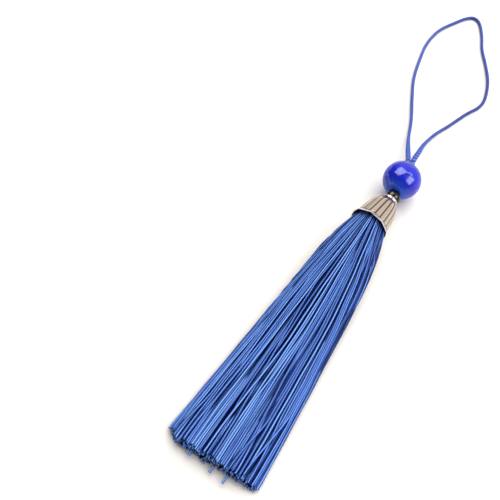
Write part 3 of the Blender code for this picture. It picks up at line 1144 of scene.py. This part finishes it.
@dataclass
class Skirt:
    """Cut strands that leave the cap in a round bunch and lie spread on the table.

    Attributes:
        count: Strands.
        tufts: Bunches that the strands keep to.
        outline: Place along the tassel, middle, half width, height, height of the side, and a strand's
            thickness, all in millimetres as the rest of the layout.
        stations: Places along the skirt where the strands are laid out.
        start_x: Where the strands leave the head.
        end_x: Where they are cut.
        switching: Share of the strands that leave their tuft for the next one.
        most_sunk: How far a strand may stay under the outline's top.
        shown_depth: Strands that lie higher than this below the surface get twisted plies.
    """

    count: int = 232
    tufts: int = 84
    stations: int = 44
    start_x: float = -23.0
    end_x: float = -140.7
    switching: float = 0.25
    most_sunk: float = 1.1
    shown_depth: float = 0.75
    plain_rings: int = 56
    plain_sides: int = 7
    twisted_rings: int = 252
    twisted_sides: int = 8
    ply_turn: float = 2.6
    ply_waist: float = 0.13
    most_in_a_piece: int = 46
    seed: int = 23
    outline: tuple[tuple[float, float, float, float, float, float], ...] = (
        (-23.0, 0.85, 6.10, 14.4, 8.25, 0.62), (-27.5, 0.85, 7.05, 15.25, 8.2, 0.64),
        (-32.5, 0.8, 9.5, 15.7, 7.6, 0.66), (-52.0, 0.75, 12.75, 12.6, 4.8, 0.72),
        (-90.0, 0.9, 15.8, 8.8, 2.2, 0.80), (-141.0, 1.0, 19.7, 5.6, 1.0, 0.90),
    )
    long_tips: tuple[tuple[float, float], ...] = (
        (8.2, -143.3), (3.0, -142.8), (-1.2, -144.5), (-6.9, -145.4), (-10.2, -142.6), (-14.1, -142.2),
    )
    crossings: tuple[tuple[float, float, float], ...] = (
        (-104.0, -11.5, -14.6), (-112.0, -14.5, -12.0), (-98.0, -6.0, -9.3), (-108.0, 4.5, 2.4),
        (-92.0, 9.5, 12.6), (-70.0, -3.5, -8.0), (-64.0, 4.0, 0.6), (-84.0, 0.8, 4.0), (-118.0, -9.0, -6.6),
        (-60.0, 8.0, 11.5), (-116.0, 14.0, 16.6),
    )

    def section(self, x: float) -> tuple[float, float, float, float, float]:
        """The skirt's outline across the tassel.

        Args:
            x: Place along the tassel.

        Returns:
            Middle, half width, height, height of the side and a strand's thickness.
        """
        table = smooth_through(np.array(self.outline), 10)[::-1]
        middle, half, height, side, thick = (float(np.interp(x, table[:, 0], table[:, column]))
                                             for column in range(1, 6))
        return middle, half, height, side, thick

    def thickness(self, x: np.ndarray) -> np.ndarray:
        """A strand's thickness at places along the tassel."""
        table = np.array(self.outline)[::-1]
        return np.interp(x, table[:, 0], table[:, 5])

    def keep_inside(self, points: np.ndarray, x: float, sunk: np.ndarray) -> np.ndarray:
        """Hold strands inside the outline at one station.

        Args:
            points: (n, 2) places across the tassel.
            x: Place along the tassel.
            sunk: (n,) how far under the outline's top each strand stays.

        Returns:
            The held places.
        """
        middle, half, height, side, thick = self.section(x)
        radius = thick / 2
        across = np.clip(points[:, 0] - middle, radius - half, half - radius)
        share = across / half
        top = side + (height - side) * np.sqrt(np.maximum(1 - share ** 2, 0))
        if x > self.outline[1][0]:
            low = side - half * np.sqrt(np.maximum(1 - share ** 2, 0))
        else:
            low = side * (1 - np.sqrt(np.maximum(1 - share ** 4, 0)))
        low = np.maximum(low, 0.0) + radius
        high = np.maximum(top - radius - sunk, low)
        return np.column_stack((across + middle, np.clip(points[:, 1], low, high)))

    @staticmethod
    def close_edges(points: np.ndarray, thick: float) -> np.ndarray:
        """Keep the outermost strands beside their neighbours, so that none lies alone.

        Args:
            points: (n, 2) places across the tassel.
            thick: A strand's thickness there.

        Returns:
            The closed places.
        """
        order = np.argsort(points[:, 0])
        for inner, outer in zip(order[6::-1], order[5::-1]):
            points[outer, 0] = max(points[outer, 0], points[inner, 0] - 0.9 * thick)
        for inner, outer in zip(order[-7:], order[-6:]):
            points[outer, 0] = min(points[outer, 0], points[inner, 0] + 0.9 * thick)
        return points

    def contact(self, x: float) -> float:
        """Least distance between strands, which are squeezed a little in the cap's mouth."""
        return self.section(x)[4] * (0.93 + 0.07 * float(step(np.array(-x), 24.0, 50.0)))

    @staticmethod
    def push_apart(points: np.ndarray, distance: float, share: float) -> np.ndarray:
        """Move points that are too near each other apart.

        Args:
            points: (n, 2) places.
            distance: Least distance wanted.
            share: Share of the overlap that one call removes.

        Returns:
            The moved places.
        """
        offsets = points[:, None] - points[None]
        gap = np.sqrt((offsets ** 2).sum(axis=2)) + 1e-6
        push = np.clip(distance - gap, 0, None) / gap * share
        np.fill_diagonal(push, 0)
        return points + 0.5 * (push[..., None] * offsets).sum(axis=1)

    def lay_out(self, sunk: np.ndarray, rng: np.random.Generator) -> tuple[np.ndarray, np.ndarray]:
        """Find every strand's place at every station.

        Args:
            sunk: (count,) how far under the outline's top each strand stays.
            rng: Source of the tufts' places and of the strands that leave them.

        Returns:
            (stations,) places along the tassel, and (stations, count, 2) places across it.
        """
        xs = self.start_x + (self.end_x - self.start_x) * np.linspace(0, 1, self.stations) ** 1.15
        before = self.section(xs[0])
        spiral = np.arange(self.count) + 0.5
        turn = spiral * math.pi * (3 - math.sqrt(5))
        disc = np.sqrt(spiral / self.count)[:, None] * np.column_stack((np.cos(turn), np.sin(turn)))
        points = disc * (before[1] - 0.4) + (before[0], before[3])
        centres = points[rng.choice(self.count, self.tufts, replace=False)]
        centres = self.push_apart(centres, 1.2, 1.0)
        tuft = np.linalg.norm(points[:, None] - centres[None], axis=2).argmin(axis=1)
        leaves_at = np.where(rng.random(self.count) < self.switching,
                             rng.integers(4, self.stations - 8, self.count), self.stations)
        places = [points]
        for station in range(1, self.stations):
            x = float(xs[station])
            now = self.section(x)
            points = np.column_stack((now[0] + (points[:, 0] - before[0]) * now[1] / before[1],
                                      points[:, 1] * now[2] / before[2]))
            members = np.zeros((self.tufts, self.count))
            members[tuft, np.arange(self.count)] = 1.0
            sizes = np.maximum(members.sum(axis=1), 1.0)
            room = math.sqrt(now[1] * now[2] * 1.9 / self.tufts)
            gather = 0.15 + 0.85 * float(step(np.array(-x), 30.0, 62.0))
            for _ in range(26):
                centres = members @ points / sizes[:, None]
                points = points + (self.push_apart(centres, room, 0.5) - centres)[tuft] * 0.6 * gather
                points = points + (centres[tuft] - points) * 0.14 * gather
                points = self.push_apart(points, self.contact(x), 0.9)
                points = self.keep_inside(points, x, sunk)
            for strand in np.flatnonzero(leaves_at == station):
                distance = np.linalg.norm(centres - points[strand], axis=1)
                distance[tuft[strand]] = np.inf
                tuft[strand] = distance.argmin()
            places.append(points)
            before = now
        return xs, np.array(places)

    def smooth_out(self, xs: np.ndarray, places: np.ndarray, sunk: np.ndarray) -> np.ndarray:
        """Straighten the strands and keep them clear of each other.

        Args:
            xs: (stations,) places along the tassel.
            places: (stations, count, 2) places across it.
            sunk: (count,) how far under the outline's top each strand stays.

        Returns:
            The eased places.
        """
        for _ in range(12):
            for _ in range(2):
                inner = 0.25 * places[:-2] + 0.5 * places[1:-1] + 0.25 * places[2:]
                places = np.concatenate((places[:1], inner, places[-1:] * 0.7 + places[-2:-1] * 0.3))
            for station in range(1, self.stations):
                points = self.push_apart(places[station], self.contact(float(xs[station])), 0.8)
                places[station] = self.close_edges(self.keep_inside(points, float(xs[station]), sunk),
                                                   self.section(float(xs[station]))[4])
        return places

    def cross_over(self, xs: np.ndarray, places: np.ndarray) -> np.ndarray:
        """Let a few strands wander over the top of the others.

        Args:
            xs: (stations,) places along the tassel.
            places: (stations, count, 2) places across it.

        Returns:
            The places with the wandering strands laid on top.
        """
        taken: list[int] = []
        for from_x, from_across, to_across in self.crossings:
            first = int(np.abs(xs - from_x).argmin())
            thick = self.thickness(xs[first:])
            there = places[first]
            off = np.abs(there[:, 0] - from_across) - 1.5 * there[:, 1]
            off[taken] = np.inf
            strand = int(off.argmin())
            taken.append(strand)
            share = step(xs[first:], xs[first], xs[-1])
            across = there[strand, 0] * (1 - share) + to_across * share
            others = np.delete(places[first:], strand, axis=1)
            near = np.abs(others[..., 0] - across[:, None]) < 0.75 * thick[:, None]
            top = np.where(near, others[..., 1], 0).max(axis=1)
            lift = np.minimum(share * 8, 1.0)
            height = places[first:, strand, 1] * (1 - lift) + (top + 0.92 * thick) * lift
            for _ in range(2):
                height[1:-1] = 0.25 * height[:-2] + 0.5 * height[1:-1] + 0.25 * height[2:]
            places[first:, strand] = np.column_stack((across, height))
        return places

    def depths(self, places: np.ndarray) -> np.ndarray:
        """How far each strand lies below the bunch's surface.

        Args:
            places: (stations, count, 2) places across the tassel.

        Returns:
            (stations, count) depths.
        """
        found = []
        for points in places:
            apart = np.abs(points[:, None, 0] - points[None, :, 0])
            higher = np.where(apart < 1.15, points[None, :, 1], -1.0)
            found.append(np.maximum(higher.max(axis=1) - points[:, 1] - 0.30, 0))
        return np.array(found)

    def cuts(self, ends: np.ndarray, rng: np.random.Generator) -> np.ndarray:
        """Where each strand is cut.

        Args:
            ends: (count, 2) places at the last station.
            rng: Source of the cut's unevenness.

        Returns:
            (count,) places along the tassel.
        """
        low = 1 - ends[:, 1] / ends[:, 1].max()
        cut = self.end_x - 0.9 * (low - 0.5) + rng.uniform(-0.9, 0.8, self.count)
        cut += 2.8 * step(ends[:, 0], 15.0, 20.0)
        for across, reach in self.long_tips:
            off = np.abs(ends[:, 0] - across) + 0.4 * np.abs(ends[:, 1] - 1.6)
            cut[off.argmin()] = reach
        return cut

    def centrelines(self, xs: np.ndarray, places: np.ndarray, cut: np.ndarray,
                    rng: np.random.Generator) -> list[np.ndarray]:
        """Join each strand's places into a smooth line with a slight wave.

        Args:
            xs: (stations,) places along the tassel.
            places: (stations, count, 2) places across it.
            cut: (count,) where each strand ends.
            rng: Source of the waves.

        Returns:
            Each strand's (n, 3) line.
        """
        share = (xs - xs[0]) / (xs[-1] - xs[0])
        lines = []
        for strand in range(self.count):
            along = xs + (cut[strand] - xs[-1]) * share ** 6
            line = smooth_through(np.column_stack((along, places[:, strand])), 6)
            line[:, 1] += 0.05 * np.sin(line[:, 0] / rng.uniform(2.2, 5.0) + rng.uniform(0, math.tau))
            line[:, 2] = np.maximum(line[:, 2], self.thickness(line[:, 0]) / 2)
            lines.append(line)
        return lines

    def build(self) -> list[bpy.types.Object]:
        """Build the strands and the head that they are fused to.

        Returns:
            The pieces of the skirt.
        """
        rng = np.random.default_rng(self.seed)
        sunk = self.most_sunk * rng.random(self.count) ** 1.4
        xs, places = self.lay_out(sunk, rng)
        places = self.cross_over(xs, self.smooth_out(xs, places, sunk))
        cut = self.cuts(places[-1], rng)
        lines = self.centrelines(xs, places, cut, rng)
        buried = self.depths(places)
        tone = rng.random(self.count)
        material = YarnFinish().make()
        shallow = np.sort(buried[4:], axis=0)[: self.stations // 4].mean(axis=0) < self.shown_depth
        order = np.argsort(places[-1, :, 0])
        shown = [strand for strand in order if shallow[strand]]
        covered = [strand for strand in order if not shallow[strand]]
        pieces = [self.head(material)]
        for number, chosen in enumerate(np.array_split(shown, math.ceil(len(shown) / self.most_in_a_piece))):
            tubes = self.tubes([lines[k] for k in chosen], buried[:, chosen], tone[chosen], xs, True, rng)
            pieces.append(tubes.make(f"strands_outer_{number + 1}", material, 80.0))
        tubes = self.tubes([lines[k] for k in covered], buried[:, covered], tone[covered], xs, False, rng)
        pieces.append(tubes.make("strands_inner", material, 80.0))
        for piece in pieces:
            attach(piece, "root")
            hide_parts("strands")
        return pieces

    def tubes(self, lines: list[np.ndarray], buried: np.ndarray, tone: np.ndarray, xs: np.ndarray,
              twisted: bool, rng: np.random.Generator) -> Patch:
        """Skin a set of strands.

        Args:
            lines: Each strand's centreline.
            buried: (stations, strands) depths below the surface.
            tone: (strands,) how light each strand is.
            xs: (stations,) places along the tassel.
            twisted: Whether the strands have the shape of two twisted plies.
            rng: Source of the strands' own turns.

        Returns:
            The mesh of all of them.
        """
        rings = self.twisted_rings if twisted else self.plain_rings
        sides = self.twisted_sides if twisted else self.plain_sides
        strands = len(lines)
        centre = np.array([resampled(line, rings) for line in lines])
        tangent = unit(np.gradient(centre, axis=1))
        side = unit(np.cross(tangent, (0.0, 0.0, 1.0)))
        above = np.cross(side, tangent)
        angle = math.tau * np.arange(sides) / sides
        circle = np.cos(angle)[:, None] * side[:, :, None] + np.sin(angle)[:, None] * above[:, :, None]
        length = np.linalg.norm(np.diff(centre, axis=1), axis=2).sum(axis=1)
        start = rng.uniform(0, 40, strands)
        along = start[:, None] + length[:, None] * np.linspace(0, 1, rings)
        slim = 0.94 + 0.06 * step(np.linspace(0, 1, rings), 0.02, 0.25)
        reach = (self.thickness(centre[..., 0]) / 2 * slim)[..., None] * np.ones(sides)
        if twisted:
            phase = angle[None, None] - math.tau * along[..., None] / self.ply_turn
            reach = reach * (1.03 - self.ply_waist * np.sin(phase) ** 2)
        points = centre[:, :, None] + reach[..., None] * circle
        tip = points[:, -1].mean(axis=1, keepdims=True) + tangent[:, -1, None] * 0.07
        points = np.concatenate((points, (tip + 0.75 * (points[:, -1] - tip))[:, None]), axis=1)
        rows = rings + 1
        quads = grid_faces(rows, sides, False)[:, ::-1]
        faces = (quads[None] + (np.arange(strands) * rows * sides)[:, None, None]).reshape(-1, 4).tolist()
        row, column = np.meshgrid(np.arange(rows - 1), np.arange(sides), indexing="ij")
        corners = np.stack((np.stack((column, row + 1), -1), np.stack((column + 1, row + 1), -1),
                            np.stack((column + 1, row), -1), np.stack((column, row), -1)), axis=-2)
        corners = corners.reshape(-1, 2)
        lay = np.empty((strands, len(corners), 2))
        lay[..., 0] = corners[:, 0] / sides
        lay[..., 1] = start[:, None] + length[:, None] * np.minimum(corners[:, 1], rings - 1) / (rings - 1)
        ends = []
        for strand in range(strands):
            first = strand * rows * sides
            faces.append([first + k for k in range(sides)])
            faces.append([first + (rows - 1) * sides + k for k in reversed(range(sides))])
            ends.append(np.full((2 * sides, 2), start[strand]))
        # Depth below the bunch's surface, which the finish turns into painted shade. It fades out at the cut,
        # where the long tips lie in the open.
        deep = np.array([np.interp(-centre[k, :, 0], -xs, buried[:, k]) for k in range(strands)])
        deep = deep * (1 - step(-centre[..., 0], -self.end_x - 0.6, -self.end_x + 0.8))
        deep = np.concatenate((deep, deep[:, -1:]), axis=1)
        cut_end = np.zeros((strands, rows))
        cut_end[:, -1] = 1.0
        values = {"strand_tone": np.repeat(tone, rows * sides), "buried": np.repeat(deep.ravel(), sides),
                  "cut_end": np.repeat(cut_end.ravel(), sides)}
        return Patch(points.reshape(-1, 3) * MM, faces, values, np.vstack((lay.reshape(-1, 2), *ends)))

    @staticmethod
    def head(material: bpy.types.Material) -> bpy.types.Object:
        """Build the bound head inside the cap, which holds the strands' roots.

        Args:
            material: The strands' finish.

        Returns:
            The head.
        """
        cap = FlutedCap()
        columns = 64
        share = np.concatenate(([0.21, 0.24], np.linspace(0.28, 0.76, 18), [0.775]))
        radius = cap.radius_at(share) - cap.wall - 0.35 * MM
        radius[0] *= 0.93
        radius[-1] *= 0.8
        angle = math.tau * np.arange(columns) / columns
        wound = radius[:, None] * (1 + 0.006 * np.sin(16 * angle))
        along = np.repeat((share * AXIS.cap_line.length)[:, None], columns, axis=1)
        points = np.stack((along, wound * np.cos(angle), wound * np.sin(angle)), axis=-1)
        faces = grid_faces(len(share), columns, False).tolist()
        faces.append(list(reversed(range(columns))))
        faces.append([(len(share) - 1) * columns + k for k in range(columns)])
        # Painted shade all over the head, which lies deep inside the cap.
        buried = np.full(len(share) * columns, 3.0)
        return Patch(moved(points.reshape(-1, 3), AXIS.cap_frame()), faces, {"buried": buried}).make(
            "strands_head", material)


def main() -> None:
    """Build the camera, the cord, the other pieces and the studio, and report each piece."""
    logging.basicConfig(level=logging.INFO, format="%(message)s")
    Viewpoint().build()
    made = [HangingCord().build(), LargeBead().build(), SmallBead().build(), FlutedCap().build()]
    made += Skirt().build()
    Studio().build()
    for piece in made:
        LOG.info("%s: %d points, %d faces", piece.name, len(piece.data.vertices), len(piece.data.polygons))


if __name__ == "__main__":
    main()
